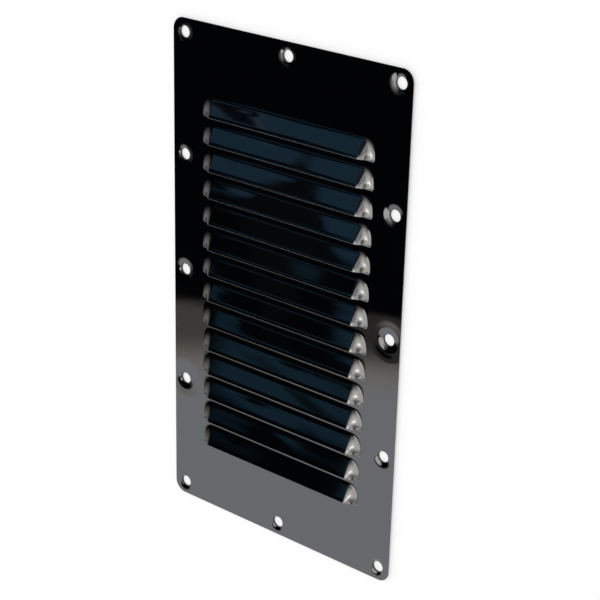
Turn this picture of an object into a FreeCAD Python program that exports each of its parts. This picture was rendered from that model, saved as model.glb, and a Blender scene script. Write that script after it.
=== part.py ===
import FreeCAD, Part
import math
import os
import Sketcher

# Vent panel pressed from one sheet of polished stainless steel.
# +X runs across the panel, +Y to its top edge, +Z out of its front face.
# The panel lies on its back: the rims of the screw holes rest on z = 0.

Vector = FreeCAD.Vector
doc = FreeCAD.newDocument("louvred_panel")

# Driving sizes in millimetres and degrees, each in one cell of the sheet
sizes = doc.addObject("Spreadsheet::Sheet", "Sizes")
driving = [
    ("panelWidth", 127.0, "across the panel, edge to edge"),
    ("panelHeight", 232.0, "bottom edge to top edge"),
    ("sheetGauge", 0.8, "thickness of the sheet"),
    ("cornerRadius", 5.6, "outer corners in plan"),
    ("screwInset", 6.25, "hole centres in from the edges"),
    ("screwBore", 5.2, "punched hole in each dimple"),
    ("screwRows", 5, "holes down each side, corners included"),
    ("dimpleMargin", 0.35, "flat rim between a dimple and the edge of the panel"),
    ("dimpleBend", 12.0, "rounded shoulder of a dimple, on the front face"),
    ("louvreCount", 14, "louvres in the column"),
    ("louvrePitch", 12.19, "from one slit to the next"),
    ("louvreMargin", 17.1, "sheet left between the end of a slit and the side of the panel"),
    ("louvreReach", 10.55, "flat length of a blade, from its hinge line to its lip"),
    ("fieldShift", 1.05, "middle of the louvre field above the middle of the panel"),
    ("bladeAngle", 24.5, "slope of a blade out of the sheet"),
    ("hingeRadius", 6.5, "bend at the top of a blade, on the front face"),
    ("lipRadius", 8.0, "bend back along the lip, on the front face"),
    ("lipTurn", 14.0, "angle of the bend back along the lip"),
    ("endWidth", 6.8, "closed end, from its foot to the full height of the blade"),
    ("endRoot", 0.6, "ease of a closed end out of the sheet, at the slit"),
    ("endDraw", 2.5, "how far that ease grows toward the hinge line, which rounds the end in plan"),
    ("endCrown", 0.8, "ease of a closed end into the blade"),
    ("slitGap", 0.15, "width of the shear cut at its two tips"),
]
for row, (alias, value, note) in enumerate(driving, start=1):
    sizes.set("A%d" % row, alias)
    sizes.set("B%d" % row, str(value))
    sizes.set("C%d" % row, note)
    sizes.setAlias("B%d" % row, alias)
doc.recompute()

# Numbers of the places on an edge of a sketch, and of the sketch's own origin and flat axis
START, END, MIDDLE = range(1, 4)
ORIGIN = FLAT_AXIS = -1


def originFeature(body, role):
    # one of the body's own origin planes or axes
    return [feature for feature in body.Origin.OriginFeatures if feature.Role == role][0]


def newSketch(body, name, plane):
    sketch = body.newObject("Sketcher::SketchObject", name)
    sketch.AttachmentSupport = [(originFeature(body, plane), "")]
    sketch.MapMode = "FlatFace"
    return sketch


def bind(sketch, name, expression, *constraint):
    # a named constraint whose value follows the sheet
    index = sketch.addConstraint(Sketcher.Constraint(*constraint))
    sketch.renameConstraint(index, name)
    sketch.setExpression("Constraints." + name, expression)


def throughPocket(body, name, profile):
    pocket = body.newObject("PartDesign::Pocket", name)
    pocket.Profile = profile
    pocket.Type = "ThroughAll"
    pocket.Midplane = True
    body.Tip = pocket
    doc.recompute()
    return pocket


def rectangle(sketch, width, below, above, widthRule, belowRule, aboveRule):
    # four lines about the sketch's upright axis, anticlockwise from the bottom one
    turns = ((-1, -below), (1, -below), (1, above), (-1, above))
    corners = [Vector(side * width / 2, level) for side, level in turns]
    for k in range(4):
        sketch.addGeometry(Part.LineSegment(corners[k], corners[(k + 1) % 4]), False)
    bottom, right, top, left = range(4)
    for k in range(4):
        sketch.addConstraint(Sketcher.Constraint("Coincident", k, END, (k + 1) % 4, START))
    for flat, upright in ((bottom, right), (top, left)):
        sketch.addConstraint(Sketcher.Constraint("Horizontal", flat))
        sketch.addConstraint(Sketcher.Constraint("Vertical", upright))
    bind(sketch, "halfWidth", widthRule + " / 2", "DistanceX", bottom, START, ORIGIN, START, width / 2)
    bind(sketch, "width", widthRule, "DistanceX", bottom, START, bottom, END, width)
    bind(sketch, "below", belowRule, "DistanceY", bottom, START, ORIGIN, START, below)
    bind(sketch, "above", aboveRule, "DistanceY", ORIGIN, START, top, START, above)


# Flat sheet, its back face on the plane z = 0 until the last placement
blank = doc.addObject("PartDesign::Body", "Blank")
outline = newSketch(blank, "Outline", "XY_Plane")
rectangle(outline, sizes.panelWidth, sizes.panelHeight / 2, sizes.panelHeight / 2,
          "Sizes.panelWidth", "Sizes.panelHeight / 2", "Sizes.panelHeight / 2")
flatSheet = blank.newObject("PartDesign::Pad", "FlatSheet")
flatSheet.Profile = outline
flatSheet.setExpression("Length", "Sizes.sheetGauge")
doc.recompute()
uprightEdges = ["Edge%d" % (k + 1) for k, edge in enumerate(flatSheet.Shape.Edges)
                if abs(edge.tangentAt(edge.FirstParameter).z) > 0.5]
roundedCorners = blank.newObject("PartDesign::Fillet", "RoundedCorners")
roundedCorners.Base = (flatSheet, uprightEdges)
roundedCorners.setExpression("Radius", "Sizes.cornerRadius")
blank.Tip = roundedCorners
doc.recompute()

# Windows that the louvres are set into, from the lowest slit up
slitLength = sizes.panelWidth - 2 * sizes.louvreMargin
slitRule = "(Sizes.panelWidth - 2 * Sizes.louvreMargin)"
windowOutline = newSketch(blank, "WindowOutline", "XY_Plane")
windowOutline.setExpression("AttachmentOffset.Base.y", "Sizes.fieldShift - ((Sizes.louvreCount - 1) * "
                            "Sizes.louvrePitch + Sizes.louvreReach) / 2")
rectangle(windowOutline, slitLength, sizes.slitGap, sizes.louvreReach,
          slitRule, "Sizes.slitGap", "Sizes.louvreReach")
window = throughPocket(blank, "Window", windowOutline)
windows = blank.newObject("PartDesign::LinearPattern", "Windows")
windows.Originals = [window]
windows.Direction = (originFeature(blank, "Y_Axis"), [""])
windows.setExpression("Length", "(Sizes.louvreCount - 1) * Sizes.louvrePitch")
windows.setExpression("Occurrences", "Sizes.louvreCount")
blank.Tip = windows
doc.recompute()


# Radius at which a dimple leaves the flat sheet
rimRule = "Sizes.screwInset - Sizes.dimpleMargin"


def arc(centre, radius, start, turn):
    # anticlockwise from the start angle, both angles in radians
    return Part.ArcOfCircle(Part.Circle(centre, Vector(0, 0, 1), radius), start, start + turn)


def dimpleSection(sketch):
    # half section of a pressed dimple about the upright axis, one gauge thick all through:
    # a rounded shoulder from the flat sheet down to the punched hole
    bore = sizes.screwBore / 2
    rim = sizes.screwInset - sizes.dimpleMargin
    gauge = sizes.sheetGauge
    bend = sizes.dimpleBend
    centre = Vector(rim, gauge - bend)
    front = arc(centre, bend, math.pi / 2, math.asin((rim - bore) / bend))
    back = arc(centre, bend - gauge, math.pi / 2, math.asin((rim - bore) / (bend - gauge)))
    edges = [front, Part.LineSegment(Vector(rim, gauge), Vector(rim, 0)), back,
             Part.LineSegment(back.EndPoint, front.EndPoint)]
    shoulder, wall, behind, boreLine = range(len(edges))
    for edge in edges:
        sketch.addGeometry(edge, False)
    rules = [("Coincident", shoulder, START, wall, START), ("Coincident", wall, END, behind, START),
             ("Coincident", behind, END, boreLine, START), ("Coincident", boreLine, END, shoulder, END),
             ("Coincident", behind, MIDDLE, shoulder, MIDDLE), ("Vertical", wall), ("Vertical", boreLine),
             ("Vertical", shoulder, MIDDLE, wall, START), ("PointOnObject", wall, END, FLAT_AXIS)]
    for rule in rules:
        sketch.addConstraint(Sketcher.Constraint(*rule))
    bind(sketch, "bore", "Sizes.screwBore / 2", "DistanceX", ORIGIN, START, shoulder, END, bore)
    bind(sketch, "rim", rimRule, "DistanceX", ORIGIN, START, wall, START, rim)
    bind(sketch, "gauge", "Sizes.sheetGauge", "DistanceY", wall, END, wall, START, gauge)
    bind(sketch, "bend", "Sizes.dimpleBend", "Radius", shoulder, bend)


def screwDimple(name, xRule, yRule):
    # round window in the sheet, and the revolved dimple that fills it
    windowCircle = newSketch(blank, name + "Circle", "XY_Plane")
    windowCircle.setExpression("AttachmentOffset.Base.x", xRule)
    windowCircle.setExpression("AttachmentOffset.Base.y", yRule)
    rim = sizes.screwInset - sizes.dimpleMargin
    circle = windowCircle.addGeometry(Part.Circle(Vector(0, 0, 0), Vector(0, 0, 1), rim), False)
    windowCircle.addConstraint(Sketcher.Constraint("Coincident", circle, MIDDLE, ORIGIN, START))
    bind(windowCircle, "rim", rimRule, "Radius", circle, rim)
    opening = throughPocket(blank, name + "Window", windowCircle)
    section = newSketch(blank, name + "Section", "XZ_Plane")
    section.setExpression("AttachmentOffset.Base.x", xRule)
    section.setExpression("AttachmentOffset.Base.z", "-1 * (" + yRule + ")")
    dimpleSection(section)
    dimple = blank.newObject("PartDesign::Revolution", name)
    dimple.Profile = section
    dimple.ReferenceAxis = (section, ["V_Axis"])
    dimple.Angle = 360
    blank.Tip = dimple
    doc.recompute()
    return [opening, dimple]


# Ten dimples down the two sides, corners included, and one more in the middle of each end
leftColumn = "Sizes.screwInset - Sizes.panelWidth / 2"
lowestRow = "Sizes.screwInset - Sizes.panelHeight / 2"
sideDimple = screwDimple("SideDimple", leftColumn, lowestRow)
sideDimples = blank.newObject("PartDesign::LinearPattern", "SideDimples")
sideDimples.Originals = sideDimple
sideDimples.Direction = (originFeature(blank, "X_Axis"), [""])
sideDimples.Direction2 = (originFeature(blank, "Y_Axis"), [""])
sideDimples.setExpression("Length", "Sizes.panelWidth - 2 * Sizes.screwInset")
sideDimples.setExpression("Length2", "Sizes.panelHeight - 2 * Sizes.screwInset")
sideDimples.Occurrences = 2
sideDimples.setExpression("Occurrences2", "Sizes.screwRows")
blank.Tip = sideDimples
doc.recompute()
endDimple = screwDimple("EndDimple", "0", lowestRow)
endDimples = blank.newObject("PartDesign::Mirrored", "EndDimples")
endDimples.Originals = endDimple
endDimples.MirrorPlane = (originFeature(blank, "XZ_Plane"), [""])
blank.Tip = endDimples
doc.recompute()


def bladeAt(flat):
    # a point of the blade's front face, by its flat distance from the hinge line:
    # how far it runs over the sheet, how far it rises from it, and its slope there
    slope = math.radians(sizes.bladeAngle)
    hingeLength = sizes.hingeRadius * slope
    straightLength = sizes.louvreReach - hingeLength - sizes.lipRadius * math.radians(sizes.lipTurn)
    bent = min(flat / sizes.hingeRadius, slope)
    along = min(max(flat - hingeLength, 0), straightLength)
    bentBack = max(flat - hingeLength - straightLength, 0) / sizes.lipRadius
    run = (sizes.hingeRadius * math.sin(bent) + along * math.cos(slope)
           + sizes.lipRadius * (math.sin(slope) - math.sin(slope - bentBack)))
    rise = (sizes.hingeRadius * (1 - math.cos(bent)) + along * math.sin(slope)
            + sizes.lipRadius * (math.cos(slope - bentBack) - math.cos(slope)))
    return run, rise, bent - bentBack


def bladeFlats():
    # flat distances of the ends of a blade's two bends, the hinge line first and the lip last
    hinge = sizes.hingeRadius * math.radians(sizes.bladeAngle)
    lip = sizes.louvreReach - sizes.lipRadius * math.radians(sizes.lipTurn)
    return [0, hinge, lip, sizes.louvreReach]


def overFlats(points, directions):
    # smooth curve that runs through the points at those flat distances
    curve = Part.BSplineCurve()
    curve.interpolate(Points=points, Tangents=directions, TangentFlags=[True] * len(points),
                      Parameters=bladeFlats(), Scale=False)
    return curve


def bladeCurve():
    # section of the blade as a curve of flat distance, run and rise
    stations = [(flat, bladeAt(flat)) for flat in bladeFlats()]
    return overFlats([Vector(flat, run, rise) for flat, (run, rise, slope) in stations],
                     [Vector(1, math.cos(slope), math.sin(slope)) for flat, (run, rise, slope) in stations])


def easeCurve():
    # ease of a closed end out of the sheet as a curve of flat distance and ease
    reach, draw = sizes.louvreReach, sizes.endDraw
    return overFlats([Vector(flat, sizes.endRoot + draw * (1 - flat / reach) ** 2) for flat in bladeFlats()],
                     [Vector(1, -2 * draw * (1 - flat / reach) / reach) for flat in bladeFlats()])


# Section of a closed end: knots and their counts, of a curve with one bend up and one bend over
endKnots = [0, 0.5, 1]
endCounts = [4, 1, 4]
cubicDegree = 3
# Spans of the back skin, down the blade and across a closed end
backSpans = 4
backColumns = 3


def endPoles(ease):
    # poles of that section, each the distance in from the foot and the share of the full rise
    root = Vector(ease, 0)
    crown = Vector(sizes.endWidth - sizes.endCrown, 1)
    return [Vector(0, 0), root, (root + crown) / 2, crown, Vector(sizes.endWidth, 1)]


def closedEnd():
    # right-hand end of one louvre, the slit along y = 0 and the back face on z = 0:
    # the front skin sweeps the section of the end down the blade, the back skin lies one gauge behind it
    foot, reach, gauge = slitLength / 2, sizes.louvreReach, sizes.sheetGauge
    blade = bladeCurve()
    poles = [[Vector(foot - inward.x, reach - down.x + (down.x - down.y) * inward.y,
                     gauge + down.z * inward.y) for inward in endPoles(ease.y)]
             for down, ease in zip(blade.getPoles(), easeCurve().getPoles())]
    front = Part.BSplineSurface()
    front.buildFromPolesMultsKnots(poles, blade.getMultiplicities(), endCounts, blade.getKnots(), endKnots,
                                   False, False, cubicDegree, cubicDegree)
    rows = []
    for down in range(backSpans + 1):
        places = [(reach * down / backSpans, across / backColumns) for across in range(backColumns + 1)]
        normals = [front.normal(*place) for place in places]
        rows.append([front.value(*place) - normal * math.copysign(gauge, normal.z)
                     for place, normal in zip(places, normals)])
    back = Part.BSplineSurface()
    back.interpolate(rows)
    rims = []
    for skin in (front, back):
        top, bottom, outer, inner = skin.bounds()
        curves = [skin.uIso(top), skin.uIso(bottom), skin.vIso(outer), skin.vIso(inner)]
        rims.append([curve.toShape() for curve in curves])
    walls = [Part.makeRuledSurface(before, behind) for before, behind in zip(*rims)]
    shell = Part.Shell([front.toShape(), back.toShape()] + walls)
    shell.sewShape()
    solid = Part.Solid(shell)
    if solid.Volume < 0:
        solid.reverse()
    section = Part.Face(Part.Wire(Part.sortEdges(walls[-1].Edges)[0]))
    return solid, section


def louvre():
    # two closed ends and the straight blade between them, as one formed piece of sheet with spline skins
    rightEnd, section = closedEnd()
    blade = section.extrude(Vector(-2 * section.BoundBox.XMin, 0, 0)).toNurbs()
    leftEnd = rightEnd.mirror(Vector(0, 0, 0), Vector(1, 0, 0))
    return blade.multiFuse([rightEnd, leftEnd]).removeSplitter().Solids[0]


# One louvre to each window
louvres = doc.addObject("Part::Feature", "Louvres")
formed = louvre()
lowestSlit = windowOutline.AttachmentOffset.Base.y
louvres.Shape = Part.makeCompound([formed.translated(Vector(0, lowestSlit + k * sizes.louvrePitch, 0))
                                   for k in range(int(sizes.louvreCount))])

# The whole stamping, raised until the back rims of its holes meet z = 0
panel = doc.addObject("Part::MultiFuse", "louvred_panel")
panel.Label = "louvred_panel"
panel.Shapes = [blank, louvres]
panel.Refine = True
behindBend = "(Sizes.dimpleBend - Sizes.sheetGauge)"
panel.setExpression("Placement.Base.z", "%s - sqrt(%s^2 - (%s - Sizes.screwBore / 2)^2)"
                    % (behindBend, behindBend, rimRule))
doc.recompute()

for item in doc.Objects:
    if "Invalid" in item.State or "Error" in item.State:
        raise RuntimeError("%s did not recompute: %s" % (item.Label, item.State))
if panel.Shape.isNull() or not panel.Shape.isValid() or len(panel.Shape.Solids) != 1:
    raise RuntimeError("the panel is not one sound solid")
os.makedirs("parts", exist_ok=True)
panel.Shape.exportStep("parts/%s.step" % panel.Label)
print("louvred_panel", round(panel.Shape.Volume, 1), "cubic mm")
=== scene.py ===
import math

import bpy
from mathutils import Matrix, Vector
from mathutils.geometry import delaunay_2d_cdt


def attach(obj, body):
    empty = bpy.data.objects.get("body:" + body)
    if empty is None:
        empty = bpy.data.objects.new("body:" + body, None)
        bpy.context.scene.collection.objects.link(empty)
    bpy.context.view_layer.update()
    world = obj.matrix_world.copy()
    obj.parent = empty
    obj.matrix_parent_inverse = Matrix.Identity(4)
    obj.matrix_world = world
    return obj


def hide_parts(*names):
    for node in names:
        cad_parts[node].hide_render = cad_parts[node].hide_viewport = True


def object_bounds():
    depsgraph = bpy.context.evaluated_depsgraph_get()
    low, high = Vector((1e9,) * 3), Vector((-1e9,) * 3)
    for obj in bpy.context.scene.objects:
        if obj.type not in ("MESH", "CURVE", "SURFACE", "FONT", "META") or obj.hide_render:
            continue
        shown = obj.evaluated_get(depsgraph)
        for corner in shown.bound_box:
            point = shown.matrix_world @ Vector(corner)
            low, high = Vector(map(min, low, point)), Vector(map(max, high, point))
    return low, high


# Mirror-polished vent panel, flat on its back: +X across, +Y to its top edge, +Z out of its front face.
# Sizes in the dictionaries are millimetres and degrees unless a note says otherwise.

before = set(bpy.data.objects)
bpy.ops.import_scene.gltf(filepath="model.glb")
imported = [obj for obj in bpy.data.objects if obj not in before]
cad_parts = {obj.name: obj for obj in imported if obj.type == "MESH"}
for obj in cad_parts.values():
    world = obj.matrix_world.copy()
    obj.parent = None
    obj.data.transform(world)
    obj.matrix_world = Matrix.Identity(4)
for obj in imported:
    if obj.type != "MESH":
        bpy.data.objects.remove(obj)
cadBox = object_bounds()
mm = 0.001
cadSize = [(high - low) / mm for low, high in zip(*cadBox)]
print("stage: frame loaded")

sheet = {
    "width": cadSize[0],
    "height": cadSize[1],
    "gauge": 0.8,
    "cornerRadius": 5.6,
    "cornerSteps": 14,
    "edgeRound": 0.2,         # broken edge of the outline
    "roundSteps": 5,
    "weldSteps": 2000,        # steps in a millimetre that tell two points apart
}

screws = {
    "inset": 6.25,
    "bore": 5.2,
    "rows": 5,
    "margin": 0.35,           # flat rim left between a dimple and the edge
    "bend": 12.0,             # rounded shoulder, on the front face
    "boreRound": 0.28,
    "boreSteps": 4,
    "around": 72,
    "shoulderSteps": 10,
}

louvres = {
    "count": 14,
    "pitch": 12.19,
    "margin": 17.1,           # sheet left between the end of a slit and the side
    "reach": 10.55,
    "shift": 1.05,            # middle of the field above the middle of the panel
    "angle": 24.5,
    "hingeRadius": 6.5,
    "lipRadius": 8.0,
    "lipTurn": 14.0,
    "endWidth": 6.8,
    "endRoot": 0.6,
    "endDraw": 2.5,           # growth of the root toward the hinge line
    "endCrown": 0.8,
    "slitGap": 0.15,
    "lipRound": 0.23,         # polished edge of the lip
    "tipRound": 1.1,          # corner of a closed end at the tip of its slit, in plan
    "tipShare": 0.96,         # of that corner, which stops short of square to the slit
    "pinchInset": 3.4,        # pinch in each closed end: middle in from the tip of the slit
    "pinchRise": 1.3,         # and above the slit
    "pinchRadius": 2.0,
    "pinchDepth": 0.46,
    "hingeSteps": 8,
    "straightSteps": 14,
    "lipSteps": 4,
    "tipSteps": 8,
    "endSteps": 22,
}

# the two faces of the flat sheet, which stands on the back rims of its holes
shoulderReach = screws["inset"] - screws["margin"] - screws["bore"] / 2
backBend = screws["bend"] - sheet["gauge"]
backLevel = backBend - math.sqrt(backBend ** 2 - shoulderReach ** 2)
frontLevel = backLevel + sheet["gauge"]
up = Vector((0, 0, 1))

# turns of a rounded edge, from the way its face looks to the way its side looks
edgeTurns = [math.pi / 2 * k / sheet["roundSteps"] for k in range(sheet["roundSteps"] + 1)]

# the slits, the lowest of them, and the hole in the right upper corner
slitLength = sheet["width"] - 2 * louvres["margin"]
field = (louvres["count"] - 1) * louvres["pitch"] + louvres["reach"]
lowestSlit = louvres["shift"] - field / 2
cornerHole = Vector((sheet["width"] / 2 - screws["inset"], sheet["height"] / 2 - screws["inset"], 0))


class Skin:
    # one closed surface: shared points, faces, and a normal for each corner of a face
    def __init__(self):
        self.points = []
        self.index = {}
        self.faces = []
        self.normals = []
        self.marks = {"cut": [], "wear": []}
        self.mark = None

    def place(self, point):
        key = tuple(round(value * sheet["weldSteps"]) for value in point)
        if key not in self.index:
            self.index[key] = len(self.points)
            self.points.append(point)
        return self.index[key]

    def face(self, corners):
        # corners are (point, normal) pairs; the face turns to agree with its normals
        kept, used = [], set()
        for point, normal in corners:
            number = self.place(point)
            if number not in used:
                used.add(number)
                kept.append((number, normal))
        if len(kept) < 3:
            return
        area = Vector()
        for (a, _), (b, _) in zip(kept, kept[1:] + kept[:1]):
            area += self.points[a].cross(self.points[b])
        if area.dot(sum((normal for _, normal in kept), Vector())) < 0:
            kept.reverse()
        self.faces.append([number for number, _ in kept])
        for mark, values in self.marks.items():
            values.append(float(mark == self.mark))
        self.normals.extend(normal for _, normal in kept)

    def grid(self, rows, mark=None):
        self.mark = mark
        for low, high in zip(rows, rows[1:]):
            for k in range(len(low) - 1):
                self.face([low[k], low[k + 1], high[k + 1], high[k]])
        self.mark = None

    def finish(self, name):
        mesh = bpy.data.meshes.new(name)
        mesh.from_pydata([point * mm for point in self.points], [], self.faces)
        for mark, values in self.marks.items():
            mesh.attributes.new(mark, "FLOAT", "FACE").data.foreach_set("value", values)
        mesh.normals_split_custom_set([normal.normalized() for normal in self.normals])
        made = bpy.data.objects.new(name, mesh)
        bpy.context.scene.collection.objects.link(made)
        return made


# Louvre sections


def bladeAt(flat):
    # run over the sheet, rise and slope of the front face, by flat distance from the hinge line
    slope = math.radians(louvres["angle"])
    hinge, lip = louvres["hingeRadius"], louvres["lipRadius"]
    straight = louvres["reach"] - hinge * slope - lip * math.radians(louvres["lipTurn"])
    bent = min(flat / hinge, slope)
    along = min(max(flat - hinge * slope, 0), straight)
    back = max(flat - hinge * slope - straight, 0) / lip
    run = (hinge * math.sin(bent) + along * math.cos(slope)
           + lip * (math.sin(slope) - math.sin(slope - back)))
    rise = (hinge * (1 - math.cos(bent)) + along * math.sin(slope)
            + lip * (math.cos(slope - back) - math.cos(slope)))
    return run, rise, bent - back


def cubic(a, b, c, d, t):
    # point and direction of one span
    s = 1 - t
    point = a * s ** 3 + b * 3 * s * s * t + c * 3 * s * t * t + d * t ** 3
    return point, (b - a) * 3 * s * s + (c - b) * 6 * s * t + (d - c) * 3 * t * t


def tipInset(flat):
    # how far the foot of a closed end curves in near the tip of the slit, and its change down the blade
    radius = louvres["tipRound"]
    into = min(max(flat - louvres["reach"] + radius, 0) / radius, louvres["tipShare"])
    depth = math.sqrt(1 - into ** 2)
    return radius * (1 - depth), (into / depth if into > 0 else 0)


def endColumns(flat):
    # across a closed end at one flat distance: distance in from its foot, that distance's change along the
    # column and down the blade, share of the full rise and its change along the column
    inset, insetChange = tipInset(flat)
    growth = louvres["endDraw"] * (1 - flat / louvres["reach"])
    ease = louvres["endRoot"] + growth * (1 - flat / louvres["reach"])
    easeChange = -2 * growth / louvres["reach"]
    crown = louvres["endWidth"] - louvres["endCrown"]
    middle = (ease + crown) / 2
    foot = (0, ease, (ease + middle) / 2, middle)
    head = (middle, (middle + crown) / 2, crown, louvres["endWidth"])
    spans = ((foot, (0, 1, 0.75, 0.5), (0, 0, 0.25, 0.5)), (head, (0.5, 0.25, 0, 0), (0.5, 0.75, 1, 1)))
    steps = louvres["endSteps"] // 2
    columns = []
    for inward, drawn, share in spans:
        for k in range(steps + (inward[0] > 0)):
            x, along = cubic(*inward, k / steps)
            shift, _ = cubic(*drawn, k / steps)
            rise, climb = cubic(*share, k / steps)
            columns.append((x + inset * (1 - rise), along - inset * climb,
                            shift * easeChange + insetChange * (1 - rise), rise, climb))
    return columns


def bladeStations():
    # flat distances from the hinge line at which a louvre has a row of points
    hinge = louvres["hingeRadius"] * math.radians(louvres["angle"])
    lip = louvres["reach"] - louvres["lipRadius"] * math.radians(louvres["lipTurn"])
    tip = louvres["reach"] - louvres["tipRound"]
    last = louvres["reach"] - louvres["lipRound"]
    stations = []
    for start, end, steps in ((0, hinge, louvres["hingeSteps"]), (hinge, lip, louvres["straightSteps"]),
                              (lip, tip, louvres["lipSteps"]), (tip, last, louvres["tipSteps"])):
        stations += [start + (end - start) * k / steps for k in range(steps)]
    return stations + [last]


def pinchEnd(point, normal, slit):
    # the small pinch that the punch leaves over each tip of a slit: the point and normal there
    side = math.copysign(1, point.x)
    away = Vector((point.x - side * (slitLength / 2 - louvres["pinchInset"]),
                   point.y - slit - louvres["pinchRise"], 0))
    share = away.length / louvres["pinchRadius"]
    if share >= 1:
        return point, normal
    depth = louvres["pinchDepth"] * (1 - 3 * share ** 2 + 2 * share ** 3)
    climb = away.normalized() * louvres["pinchDepth"] * 6 * share * (1 - share) / louvres["pinchRadius"]
    lean = climb - normal * climb.dot(normal)
    return point - normal * depth, (normal - lean).normalized()


def louvreRow(slit, flat):
    # front skin from the right foot to the left one: point, normal, and the way out over the lip
    run, rise, slope = bladeAt(flat)
    ends = endColumns(flat)
    columns = [(1, *column) for column in ends] + [(-1, *column) for column in reversed(ends)]
    row = []
    for side, x, along, shift, share, climb in columns:
        across = Vector((-side * along, (flat - run) * climb, rise * climb))
        down = Vector((-side * shift, (1 - math.cos(slope)) * share - 1, math.sin(slope) * share))
        normal = down.cross(across).normalized()
        if normal.z < 0:
            normal.negate()
        point = Vector((side * (slitLength / 2 - x),
                        slit + louvres["reach"] - flat + (flat - run) * share, frontLevel + rise * share))
        point, normal = pinchEnd(point, normal, slit)
        out = across.cross(normal).normalized()
        if out.dot(down) < 0:
            out.negate()
        row.append((point, normal, out))
    return row


def pressLouvre(skin, slit):
    # blade, closed ends and edges of one louvre; gives back where the flat sheet meets it
    gauge, rounding = sheet["gauge"], louvres["lipRound"]
    rows = [louvreRow(slit, flat) for flat in bladeStations()]
    front = [[(point, normal) for point, normal, _ in row] for row in rows]
    back = [[(point - normal * gauge, -normal) for point, normal, _ in row] for row in rows]
    rims = rows[-1]
    skin.grid(front)
    skin.grid(back)
    # broken edge of the lip, its flat, and the edge behind
    edge = []
    for depth, sign, order in ((rounding, 1, edgeTurns), (gauge - rounding, -1, edgeTurns[::-1])):
        for turn in order:
            row = []
            for point, normal, out in rims:
                facing = out * math.sin(turn) + normal * sign * math.cos(turn)
                row.append((point - normal * depth + facing * rounding, facing))
            edge.append(row)
    skin.grid(edge[:len(edgeTurns)], "wear")
    skin.grid(edge[len(edgeTurns) - 1:len(edgeTurns) + 1], "cut")
    skin.grid(edge[len(edgeTurns):], "wear")
    skin.mark = "cut"
    # shear cut of the sheet under the lip, and the two tips of the slit
    half, cut = rims[0][0].x, slit - louvres["slitGap"]
    toSlit = Vector((0, 1, 0))
    skin.face([(Vector((x, cut, z)), toSlit) for x, z in ((-half, backLevel), (half, backLevel),
                                                          (half, frontLevel), (-half, frontLevel))])
    for side, column in ((1, 0), (-1, -1)):
        inward = Vector((-side, 0, 0))
        profile = [row[column][0] for row in edge]
        profile += [Vector((side * half, cut, backLevel)), Vector((side * half, cut, frontLevel))]
        skin.face([(point, inward) for point in profile])
    skin.mark = None
    return [row[0][0] for row in front], [row[-1][0] for row in front], [corner[0] for corner in front[0]]


# Screw dimples


def pressDimple(skin, centre):
    # stations are radius, height, and the outward normal along each
    rim = screws["inset"] - screws["margin"]
    bore, bend, rounding = screws["bore"] / 2, screws["bend"], screws["boreRound"]
    low = frontLevel - bend
    last = math.asin((rim - bore - rounding) / (bend - rounding))
    profile = []
    for k in range(screws["shoulderSteps"] + 1):
        turn = last * k / screws["shoulderSteps"]
        profile.append((rim - bend * math.sin(turn), low + bend * math.cos(turn),
                        -math.sin(turn), math.cos(turn)))
    edgeMiddle = (bore + rounding, low + (bend - rounding) * math.cos(last))
    for k in range(1, screws["boreSteps"] + 1):
        turn = last + (math.pi / 2 - last) * k / screws["boreSteps"]
        profile.append((edgeMiddle[0] - rounding * math.sin(turn), edgeMiddle[1] + rounding * math.cos(turn),
                        -math.sin(turn), math.cos(turn)))
    behind = []
    lastBack = math.asin((rim - bore) / backBend)
    for k in range(screws["shoulderSteps"] + 1):
        turn = lastBack * k / screws["shoulderSteps"]
        behind.append((rim - backBend * math.sin(turn), low + backBend * math.cos(turn),
                       math.sin(turn), -math.cos(turn)))
    wall = [(bore, profile[-1][1], -1, 0), (bore, behind[-1][1], -1, 0)]

    def ring(r, z, nr, nz):
        row = []
        for k in range(screws["around"] + 1):
            angle = 2 * math.pi * (k % screws["around"]) / screws["around"]
            out = Vector((math.cos(angle), math.sin(angle), 0))
            row.append((centre + out * r + up * z, out * nr + up * nz))
        return row

    shoulder = screws["shoulderSteps"] + 1
    parts = ((profile[:shoulder], None), (profile[shoulder - 1:], "wear"), (wall, "cut"), (behind, None))
    for part, mark in parts:
        skin.grid([ring(*station) for station in part], mark)
    return [corner[0].to_2d() for corner in ring(*profile[0])[:-1]]


# Flat sheet round the louvres and dimples


def outlinePath(inset):
    # points and outward directions round the rounded rectangle, anticlockwise
    radius = sheet["cornerRadius"]
    path = []
    for quarter, (sx, sy) in enumerate(((1, 1), (-1, 1), (-1, -1), (1, -1))):
        centre = Vector((sx * (sheet["width"] / 2 - radius), sy * (sheet["height"] / 2 - radius)))
        for k in range(sheet["cornerSteps"] + 1):
            angle = math.pi / 2 * (quarter + k / sheet["cornerSteps"])
            out = Vector((math.cos(angle), math.sin(angle)))
            path.append((centre + out * (radius - inset), out))
    return path


def breakOutline(skin):
    # the rounded edge of the sheet; gives back the outline of its flat
    rounding = sheet["edgeRound"]
    path = outlinePath(rounding)
    path.append(path[0])
    rows = []
    for level, sign, order in ((frontLevel - rounding, 1, edgeTurns),
                               (backLevel + rounding, -1, edgeTurns[::-1])):
        for turn in order:
            row = []
            for point, out in path:
                normal = out.to_3d() * math.sin(turn) + up * sign * math.cos(turn)
                row.append((point.to_3d() + up * level + normal * rounding, normal))
            rows.append(row)
    skin.grid(rows, "wear")
    return [point for point, _ in path[:-1]]


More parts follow.
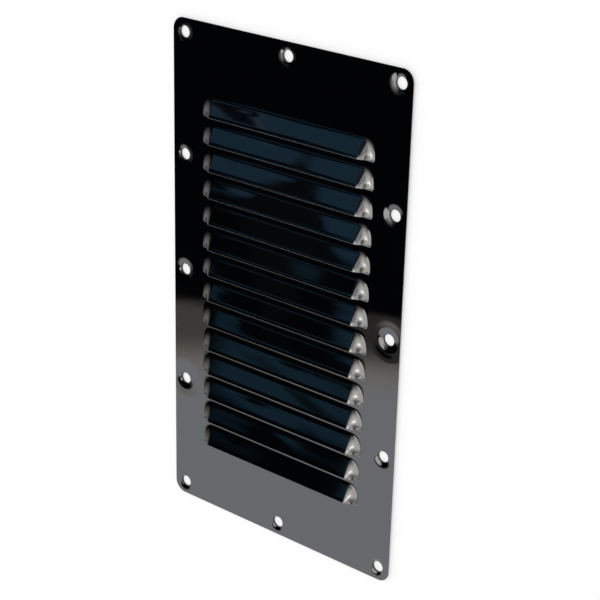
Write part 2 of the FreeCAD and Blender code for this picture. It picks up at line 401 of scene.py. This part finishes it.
def layFlat(skin, outline, openings):
    # the flat between the outline and the openings, once on the front and once behind
    points, edges = [], []
    for loop in [outline] + openings:
        start = len(points)
        points += [point.copy() for point in loop]
        edges += [(start + k, start + (k + 1) % len(loop)) for k in range(len(loop))]
    allTriangles, nearness = 0, 1e-6
    spots, _, faces, _, _, _ = delaunay_2d_cdt(points, edges, [], allTriangles, nearness)

    def inside(spot, loop):
        found = False
        for a, b in zip(loop, loop[1:] + loop[:1]):
            if (a.y > spot.y) != (b.y > spot.y) and spot.x < a.x + (spot.y - a.y) / (b.y - a.y) * (b.x - a.x):
                found = not found
        return found

    boxes = []
    for loop in openings:
        xs, ys = [point.x for point in loop], [point.y for point in loop]
        boxes.append((min(xs), max(xs), min(ys), max(ys), loop))
    for face in faces:
        middle = sum((spots[k] for k in face), Vector((0, 0))) / len(face)
        if not inside(middle, outline):
            continue
        near = [loop for x0, x1, y0, y1, loop in boxes if x0 < middle.x < x1 and y0 < middle.y < y1]
        if any(inside(middle, loop) for loop in near):
            continue
        for level, normal in ((frontLevel, up), (backLevel, -up)):
            skin.face([(spots[k].to_3d() + up * level, normal) for k in face])


def buildPanel():
    skin = Skin()
    openings = []
    for k in range(louvres["count"]):
        slit = lowestSlit + k * louvres["pitch"]
        right, left, hinge = pressLouvre(skin, slit)
        cut = slit - louvres["slitGap"]
        loop = [Vector((left[-1].x, cut)), Vector((right[-1].x, cut))]
        loop += [point.to_2d() for point in reversed(right)]
        loop += [point.to_2d() for point in hinge[1:-1]]
        loop += [point.to_2d() for point in left]
        openings.append(loop)
    x, y, _ = cornerHole
    places = [Vector((side * x, -y + 2 * y * k / (screws["rows"] - 1), 0))
              for side in (-1, 1) for k in range(screws["rows"])]
    places += [Vector((0, -y, 0)), Vector((0, y, 0))]
    for place in places:
        openings.append(pressDimple(skin, place))
    layFlat(skin, breakOutline(skin), openings)
    return skin.finish("vent_panel")


# Finish

steel = {
    "colour": (0.62, 0.61, 0.60, 1),
    "cutColourAndShade": (0.26, 0.26, 0.26, 1),    # sheared and punched edges, not polished; their dark grey is partly painted shade in bores and slits
    "cutRoughness": 0.38,
    "lipRoughness": 0.34,         # rounded edge of a lip, deburred but not polished
    "wearColour": (0.70, 0.69, 0.68, 1),   # edges rubbed bright by the buffing wheel
    "roughness": 0.025,
    "hazeRoughness": 0.06,        # where the buffing is less even
    "hazeScale": 38.0,            # per metre
    "hazeDetail": 6.0,
    "hazeSpan": (0.35, 0.75),     # of the noise
    "rubScale": 240.0,            # worn stretches of the edges, per metre
    "rubDetail": 3.0,
    "rubSpan": (0.3, 0.6),
    "brushScale": (60.0, 1800.0, 60.0),    # fine buffing lines across the panel, per metre
    "brushDetail": 3.0,
    "brushHeight": 0.00025,       # millimetres
    "bladeSpan": (0.3, 1.6),      # millimetres over the sheet in which a blade comes clear of it
    "waveScale": 26.0,            # slow unevenness of the pressed blades, per metre
    "waveDetail": 1.5,
    "waveHeight": 0.17,
    "skirtStart": 4.6,            # millimetres from the middle of a hole
    "skirtReach": 10.4,           # and where the sheet round its dimple is flat again
    "skirtDepth": 0.12,
    "boreShade": (0.07, 0.07, 0.07, 1),   # painted shade over the punched wall and its rounded edge
    "boreSpan": (0.1, 0.26),      # millimetres out from the bore in which that fades
    "cupStart": 2.2,              # millimetres from the middle of a hole: the shoulder, a little fuller
    "cupReach": 6.0,
    "cupDepth": 0.06,
    "pinchShade": (0.10, 0.10, 0.10, 1),  # painted shade in the bottom of a pinch
    "pinchSpan": (0.3833, 1.15),   # millimetres from its middle in which that fades
    "pinchCover": 0.9,
    "wholeRows": 10,              # keeps a share of a pitch above nought all down the panel
}


def reckon(tree, operation, *values):
    # one step of arithmetic on sockets and plain numbers
    node = tree.nodes.new("ShaderNodeMath")
    node.operation = operation
    for socket, value in zip(node.inputs, values):
        if isinstance(value, bpy.types.NodeSocket):
            tree.links.new(value, socket)
        else:
            socket.default_value = value
    return node.outputs[0]


def fromSides(tree, value, place):
    # signed distance past a place that both sides of the panel have
    return reckon(tree, "SUBTRACT", reckon(tree, "ABSOLUTE", value), place)


def fromRows(tree, along, first, pitch):
    # signed distance along the panel from the nearest of a row of places
    share = reckon(tree, "MULTIPLY_ADD", along, 1 / pitch, steel["wholeRows"] + 0.5 - first / pitch)
    return reckon(tree, "MULTIPLY_ADD", reckon(tree, "FRACT", share), pitch, -pitch / 2)


def distance(tree, a, b):
    squares = reckon(tree, "ADD", reckon(tree, "MULTIPLY", a, a), reckon(tree, "MULTIPLY", b, b))
    return reckon(tree, "SQRT", squares)


def holeDistance(tree, across, along):
    # millimetres from the nearest screw hole
    x, y, _ = cornerHole
    sideHoles = distance(tree, fromSides(tree, across, x),
                         fromRows(tree, along, 0, 2 * y / (screws["rows"] - 1)))
    endHoles = distance(tree, across, fromSides(tree, along, y))
    return reckon(tree, "MINIMUM", sideHoles, endHoles)


def pinchDistance(tree, across, along):
    # millimetres from the nearest pinch in the closed end of a louvre
    return distance(tree, fromSides(tree, across, slitLength / 2 - louvres["pinchInset"]),
                    fromRows(tree, along, lowestSlit + louvres["pinchRise"], louvres["pitch"]))


def ramp(tree, value, low, high, bottom=0.0, top=1.0):
    # smooth step from bottom to top as the value goes from low to high
    node = tree.nodes.new("ShaderNodeMapRange")
    node.interpolation_type = "SMOOTHSTEP"
    tree.links.new(value, node.inputs["Value"])
    for key, number in (("From Min", low), ("From Max", high), ("To Min", bottom), ("To Max", top)):
        node.inputs[key].default_value = number
    return node.outputs["Result"]


def noiseAt(tree, place, scale, detail):
    noise = tree.nodes.new("ShaderNodeTexNoise")
    noise.inputs["Scale"].default_value = scale
    noise.inputs["Detail"].default_value = detail
    tree.links.new(place, noise.inputs["Vector"])
    return noise.outputs["Fac"]


def blend(tree, factor, first, second):
    # colours or sockets, mixed by a socket
    mix = tree.nodes.new("ShaderNodeMix")
    mix.data_type = "RGBA"
    tree.links.new(factor, mix.inputs["Factor"])
    for socket, value in ((mix.inputs[6], first), (mix.inputs[7], second)):
        if isinstance(value, bpy.types.NodeSocket):
            tree.links.new(value, socket)
        else:
            socket.default_value = value
    return mix.outputs[2]


def polishedSteel():
    material = bpy.data.materials.new("polishedSteel")
    material.use_nodes = True
    tree = material.node_tree
    shader = tree.nodes["Principled BSDF"]
    shader.inputs["Metallic"].default_value = 1.0
    place = tree.nodes.new("ShaderNodeTexCoord").outputs["Object"]
    split = tree.nodes.new("ShaderNodeSeparateXYZ")
    tree.links.new(place, split.inputs["Vector"])
    across, along, high = [reckon(tree, "MULTIPLY", split.outputs[part], 1 / mm) for part in "XYZ"]
    marks = {}
    for name in ("cut", "wear"):
        mark = tree.nodes.new("ShaderNodeAttribute")
        mark.attribute_name = name
        marks[name] = mark.outputs["Fac"]
    fromHole = holeDistance(tree, across, along)
    onBlade = ramp(tree, high, *(frontLevel + rise for rise in steel["bladeSpan"]))

    # colour: bright where an edge is rubbed, grey where the sheet was cut (rough, and partly painted shade),
    # painted shade in bores and pinches
    rubNoise = noiseAt(tree, place, steel["rubScale"], steel["rubDetail"])
    rubbed = reckon(tree, "MULTIPLY", marks["wear"], ramp(tree, rubNoise, *steel["rubSpan"]))
    colour = blend(tree, rubbed, steel["colour"], steel["wearColour"])
    # cut faces greyer: rough and unpolished, and partly painted shade
    colour = blend(tree, marks["cut"], colour, steel["cutColourAndShade"])
    # painted shade: a dark ring on each bore wall and its rounded edge
    boreShadeMask = ramp(tree, fromHole, *(screws["bore"] / 2 + out for out in steel["boreSpan"]), 1.0, 0.0)
    colour = blend(tree, boreShadeMask, colour, steel["boreShade"])
    # painted shade in the bottom of each pinch, on the blades only
    pinchShadeMask = ramp(tree, pinchDistance(tree, across, along), *steel["pinchSpan"], steel["pinchCover"], 0.0)
    pinchShadeMask = reckon(tree, "MULTIPLY", pinchShadeMask, onBlade)
    tree.links.new(blend(tree, pinchShadeMask, colour, steel["pinchShade"]), shader.inputs["Base Color"])

    # roughness: a haze over the polish, duller cut faces and lips
    hazeNoise = noiseAt(tree, place, steel["hazeScale"], steel["hazeDetail"])
    haze = ramp(tree, hazeNoise, *steel["hazeSpan"], steel["roughness"], steel["hazeRoughness"])
    onLip = reckon(tree, "MULTIPLY", marks["wear"], onBlade)
    dull = reckon(tree, "MULTIPLY", marks["cut"], steel["cutRoughness"])
    dull = reckon(tree, "MULTIPLY_ADD", onLip, steel["lipRoughness"], dull)
    tree.links.new(reckon(tree, "ADD", haze, dull), shader.inputs["Roughness"])

    # form too slight for the mesh: uneven blades, the dish round each dimple, buffing lines
    wave = reckon(tree, "SUBTRACT", noiseAt(tree, place, steel["waveScale"], steel["waveDetail"]), 0.5)
    wave = reckon(tree, "MULTIPLY", wave, steel["waveHeight"] * mm)
    wave = reckon(tree, "MULTIPLY", wave, onBlade)
    dish = ramp(tree, fromHole, steel["skirtStart"], steel["skirtReach"], -steel["skirtDepth"] * mm, 0.0)
    cup = ramp(tree, fromHole, steel["cupStart"], steel["cupReach"], -steel["cupDepth"] * mm, 0.0)
    dish = reckon(tree, "ADD", dish, cup)
    stretch = tree.nodes.new("ShaderNodeMapping")
    stretch.inputs["Scale"].default_value = steel["brushScale"]
    tree.links.new(place, stretch.inputs["Vector"])
    lines = noiseAt(tree, stretch.outputs["Vector"], 1.0, steel["brushDetail"])
    lines = reckon(tree, "MULTIPLY", lines, steel["brushHeight"] * mm)
    height = reckon(tree, "ADD", reckon(tree, "ADD", wave, dish), lines)
    bump = tree.nodes.new("ShaderNodeBump")
    bump.inputs["Strength"].default_value = 1.0
    bump.inputs["Distance"].default_value = 1.0
    tree.links.new(height, bump.inputs["Height"])
    tree.links.new(bump.outputs["Normal"], shader.inputs["Normal"])
    return material


panel = buildPanel()
panel.data.materials.append(polishedSteel())
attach(panel, "root")
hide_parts("louvred_panel")
print("stage: panel pressed,", len(panel.data.polygons), "faces")

# Studio: a pale floor in a white room

studio = {
    "floorHalf": 4.0,             # metres
    "floorDrop": 0.2,             # millimetres under the panel
    "floorColour": 0.5,           # what the floor gives back of the light on it
    "floorGlow": 0.5,             # the rest of its white, as seen and mirrored
    "skyDiffuse": 1.0,            # light that the room gives the floor and the panel
}


def addSheet(name, points, faces, material):
    # a plain mesh of the studio
    mesh = bpy.data.meshes.new(name)
    mesh.from_pydata(points, [], faces)
    mesh.materials.append(material)
    made = bpy.data.objects.new(name, mesh)
    bpy.context.scene.collection.objects.link(made)
    return made


def rectangle(low, high, level):
    (left, near), (right, far) = low, high
    return [(left, near, level), (right, near, level), (right, far, level), (left, far, level)]


def hideFromEye(thing):
    # seen by mirrored rays only
    thing.visible_camera = False
    thing.visible_diffuse = False
    thing.visible_shadow = False
    thing.visible_transmission = False


def seenWhite(tree):
    # 1 for camera, glossy and transmission rays, 0 for the rest
    rays = tree.nodes.new("ShaderNodeLightPath").outputs
    seen = reckon(tree, "MAXIMUM", rays["Is Camera Ray"], rays["Is Glossy Ray"])
    return reckon(tree, "MAXIMUM", seen, rays["Is Transmission Ray"])


def layFloor():
    material = bpy.data.materials.new("paleFloor")
    material.use_nodes = True
    tree = material.node_tree
    tree.nodes.clear()
    out = tree.nodes.new("ShaderNodeOutputMaterial")
    matt = tree.nodes.new("ShaderNodeBsdfDiffuse")
    shade = studio["floorColour"]
    matt.inputs["Color"].default_value = (shade, shade, shade, 1)
    light = tree.nodes.new("ShaderNodeEmission")
    glow = reckon(tree, "MULTIPLY", seenWhite(tree), studio["floorGlow"])
    tree.links.new(glow, light.inputs["Strength"])
    both = tree.nodes.new("ShaderNodeAddShader")
    tree.links.new(matt.outputs["BSDF"], both.inputs[0])
    tree.links.new(light.outputs["Emission"], both.inputs[1])
    tree.links.new(both.outputs["Shader"], out.inputs["Surface"])
    half, level = studio["floorHalf"], -studio["floorDrop"] * mm
    floor = addSheet("floor", rectangle((-half, -half), (half, half), level), [(0, 1, 2, 3)], material)


def lightSky():
    world = bpy.data.worlds.new("whiteRoom")
    bpy.context.scene.world = world
    world.use_nodes = True
    tree = world.node_tree
    sky = tree.nodes["Background"]
    sky.inputs["Color"].default_value = (1, 1, 1, 1)
    strength = ramp(tree, seenWhite(tree), 0, 1, studio["skyDiffuse"], 1.0)
    tree.links.new(strength, sky.inputs["Strength"])


# A grey mat on the floor left of the panel, which only the left ends of the louvres mirror
greyMat = {
    "corner": (-600, -300),
    "far": (-66, 300),
    "height": 0.3,
    "glow": (0.15, 0.15, 0.145),
}


def layMat():
    material = bpy.data.materials.new("greyMat")
    material.use_nodes = True
    material.cycles.emission_sampling = "NONE"
    shader = material.node_tree.nodes["Principled BSDF"]
    shader.inputs["Base Color"].default_value = (0, 0, 0, 1)
    shader.inputs["Emission Color"].default_value = (*greyMat["glow"], 1)
    shader.inputs["Emission Strength"].default_value = 1.0
    corners = rectangle(greyMat["corner"], greyMat["far"], greyMat["height"])
    mat = addSheet("mat", [Vector(corner) * mm for corner in corners], [(0, 1, 2, 3)], material)
    hideFromEye(mat)


# What the polish mirrors: a shell round the panel, dark, with soft patches of light painted on it in turn.
# A place on it is degrees of azimuth (0 over the front face, + toward +X) and of elevation (+ toward +Y).
surround = {
    "radius": 0.7,                # metres
    "azimuth": (-92, 92),
    "elevation": (-89.9, 89.9),
    "columns": 64,
    "rows": 32,
    "dark": (0.0012, 0.0015, 0.0022),
    "wobbleScale": 9.0,           # unevenness of the teal patches, per metre
    "wobbleDetail": 2.0,
    "wobble": 1.6,                # degrees
}

# Each patch: middle, half size, softness of its edge as a share of that, power of its outline (1 a diamond,
# 2 an ellipse, 6 nearly a box), slant in degrees of elevation for one of azimuth, uneven or not, and colour
teal = (0.0115, 0.0285, 0.0470)
patches = {
    "leftGlow": {"at": (-103, -10), "half": (26, 26), "soft": 1.0, "colour": (0.230, 0.230, 0.222)},
    "rightGlow": {"at": (12, -1), "half": (21, 21), "soft": 1.0, "colour": (0.665, 0.660, 0.645)},
    "rightRest": {"at": (64, -5), "half": (30, 30), "soft": 0.4, "colour": (0.48, 0.48, 0.47)},
    "holeGlow": {"at": (-4.5, -17.5), "half": (19.5, 9.5), "soft": 0.12, "colour": (0.52, 0.52, 0.51)},
    "upperDark": {"at": (18, 52.5), "half": (44, 25), "soft": 0.11, "power": 6, "slant": 0.36,
                  "colour": (0.014, 0.015, 0.018)},
    "glint": {"at": (15.5, 0), "half": (3.2, 4.4), "soft": 0.9, "colour": (1.55, 1.55, 1.50)},
    "blueSpot": {"at": (14, 16), "half": (13, 3.2), "soft": 0.95, "colour": (0.20, 0.22, 0.26)},
    "warmEdge": {"at": (-44, -60), "half": (22, 36.7), "soft": 0.006, "power": 8, "slant": -0.05,
                 "colour": (0.032, 0.030, 0.029)},
    "warmLeft": {"at": (-56, -60), "half": (14, 36.75), "soft": 0.008, "power": 8,
                 "colour": (0.072, 0.069, 0.065)},
    "warmTop": {"at": (-20, -72), "half": (75, 44.3), "soft": 0.03, "power": 10, "slant": -0.04,
                "colour": (0.195, 0.183, 0.166)},
    "greyCard": {"at": (-20, -72), "half": (75, 42.9), "soft": 0.04, "power": 10, "slant": -0.04,
                 "colour": (0.219, 0.228, 0.248)},
    "lowCard": {"at": (-20, -88), "half": (120, 30), "soft": 0.1, "power": 8, "colour": (0.33, 0.35, 0.38)},
    "tealTop": {"at": (-38, 32), "half": (18, 10.8), "soft": 0.05, "power": 6, "wobbled": True,
                "colour": teal},
    "wedge": {"at": (-37.9, 20.6), "half": (4.1, 5.8), "soft": 0.16, "power": 1.2, "wobbled": True,
              "colour": (0.003, 0.0035, 0.0045)},
    "paleEye": {"at": (-44.6, 26.2), "half": (3.1, 0.80), "soft": 0.2, "wobbled": True,
                "colour": (0.024, 0.038, 0.050)},
    "darkEye": {"at": (-44.7, 26.2), "half": (2.4, 0.52), "soft": 0.15, "wobbled": True,
                "colour": (0.002, 0.002, 0.003)},
    "tealRight": {"at": (-30.2, 16.9), "half": (2.6, 2.2), "soft": 0.35, "wobbled": True, "colour": teal},
    "tealSpot": {"at": (-35.8, 18.9), "half": (1.5, 0.7), "soft": 0.7, "wobbled": True,
                 "colour": (0.006, 0.015, 0.024)},
    "tealStreak": {"at": (-40.4, 12.8), "half": (2.4, 0.8), "soft": 0.6, "slant": -1.0, "wobbled": True,
                   "colour": (0.007, 0.018, 0.029)},
    "tealBand": {"at": (-34.0, 9.9), "half": (6.4, 2.9), "soft": 0.16, "power": 5, "wobbled": True,
                 "colour": (0.0085, 0.0225, 0.0360)},
    "darkStreak": {"at": (-33.0, 10.3), "half": (4.8, 0.42), "soft": 0.7, "slant": -0.22, "wobbled": True,
                   "colour": (0.003, 0.006, 0.010)},
    "darkStreakLow": {"at": (-31.0, 7.5), "half": (2.6, 0.5), "soft": 0.6, "slant": -0.1, "wobbled": True,
                      "colour": (0.002, 0.004, 0.006)},
    "tealFar": {"at": (-27.6, 6.5), "half": (2.0, 3.6), "soft": 0.3, "wobbled": True,
                "colour": (0.008, 0.021, 0.034)},
    "tealLow": {"at": (-38.4, 4.6), "half": (1.8, 1.2), "soft": 0.7, "wobbled": True,
                "colour": (0.004, 0.011, 0.017)},
    "camera": {"at": (39.3, 23.5), "half": (4, 4), "soft": 0.4, "colour": (0.02, 0.02, 0.02)},
}


def shellPlace(tree):
    # azimuth and elevation in degrees, plain and wobbled
    place = tree.nodes.new("ShaderNodeTexCoord")
    split = tree.nodes.new("ShaderNodeSeparateXYZ")
    tree.links.new(place.outputs["Object"], split.inputs["Vector"])
    azimuth = reckon(tree, "ARCTAN2", split.outputs["X"], split.outputs["Z"])
    elevation = reckon(tree, "ARCSINE", reckon(tree, "DIVIDE", split.outputs["Y"], surround["radius"]))
    plain = [reckon(tree, "DEGREES", angle) for angle in (azimuth, elevation)]
    noise = tree.nodes.new("ShaderNodeTexNoise")
    noise.inputs["Scale"].default_value = surround["wobbleScale"]
    noise.inputs["Detail"].default_value = surround["wobbleDetail"]
    tree.links.new(place.outputs["Object"], noise.inputs["Vector"])
    shift = tree.nodes.new("ShaderNodeSeparateXYZ")
    tree.links.new(noise.outputs["Color"], shift.inputs["Vector"])
    wobble, wobbled = surround["wobble"], []
    for angle, part in zip(plain, "XY"):
        offset = reckon(tree, "MULTIPLY_ADD", shift.outputs[part], 2 * wobble, -wobble)
        wobbled.append(reckon(tree, "ADD", angle, offset))
    return plain, wobbled


def patchMask(tree, place, at, half, soft, power=2, slant=0):
    # 1 inside the patch, 0 outside, with a smooth edge
    across = reckon(tree, "SUBTRACT", place[0], at[0])
    rise = reckon(tree, "SUBTRACT", place[1], at[1])
    rise = reckon(tree, "MULTIPLY_ADD", across, -slant, rise)
    parts = [reckon(tree, "POWER", reckon(tree, "ABSOLUTE", reckon(tree, "DIVIDE", value, size)), power)
             for value, size in ((across, half[0]), (rise, half[1]))]
    reach = reckon(tree, "POWER", reckon(tree, "ADD", *parts), 1 / power)
    return ramp(tree, reach, 1 + soft, 1 - soft)


def paintSurround():
    material = bpy.data.materials.new("surroundings")
    material.use_nodes = True
    tree = material.node_tree
    tree.nodes.clear()
    plain, wobbled = shellPlace(tree)
    colour = (*surround["dark"], 1)
    for patch in patches.values():
        form = {key: value for key, value in patch.items() if key not in ("colour", "wobbled")}
        mask = patchMask(tree, wobbled if patch.get("wobbled") else plain, **form)
        colour = blend(tree, mask, colour, (*patch["colour"], 1))
    light = tree.nodes.new("ShaderNodeEmission")
    out = tree.nodes.new("ShaderNodeOutputMaterial")
    tree.links.new(colour, light.inputs["Color"])
    tree.links.new(light.outputs["Emission"], out.inputs["Surface"])
    material.cycles.emission_sampling = "NONE"
    return material


def standSurround():
    # half of a globe over the floor, seen only in the polish
    columns, rows, radius = surround["columns"], surround["rows"], surround["radius"]
    left, right = surround["azimuth"]
    low, high = surround["elevation"]
    points, faces = [], []
    for row in range(rows + 1):
        for column in range(columns + 1):
            azimuth = math.radians(left + (right - left) * column / columns)
            elevation = math.radians(low + (high - low) * row / rows)
            points.append(Vector((math.sin(azimuth) * math.cos(elevation), math.sin(elevation),
                                  math.cos(azimuth) * math.cos(elevation))) * radius)
    for row in range(rows):
        for column in range(columns):
            first = row * (columns + 1) + column
            faces.append((first, first + 1, first + columns + 2, first + columns + 1))
    shell = addSheet("surround", points, faces, paintSurround())
    hideFromEye(shell)


layFloor()
lightSky()
standSurround()
layMat()
print("stage: studio set")

# Camera where the photograph was taken from, over the front face

view = {
    "from": (417.08, 286.34, 509.0 + frontLevel),
    "right": (0.77418, 0.02396, -0.63251),
    "up": (-0.26821, 0.91756, -0.29352),
    "lens": 99.31,
    "sensor": 36.0,
    "sight": 50.0,                # metres
}


def aimCamera():
    lens = bpy.data.cameras.new("camera")
    lens.lens = view["lens"]
    lens.sensor_width = view["sensor"]
    lens.clip_end = view["sight"]
    camera = bpy.data.objects.new("camera", lens)
    bpy.context.scene.collection.objects.link(camera)
    right, top = Vector(view["right"]).normalized(), Vector(view["up"]).normalized()
    back = right.cross(top)
    turn = camera.matrix_world.copy()
    for row in range(3):
        turn[row][0], turn[row][1], turn[row][2] = right[row], top[row], back[row]
        turn[row][3] = view["from"][row] * mm
    camera.matrix_world = turn
    bpy.context.scene.camera = camera


aimCamera()
bpy.context.scene.view_settings.view_transform = "Standard"
print("stage: camera set")
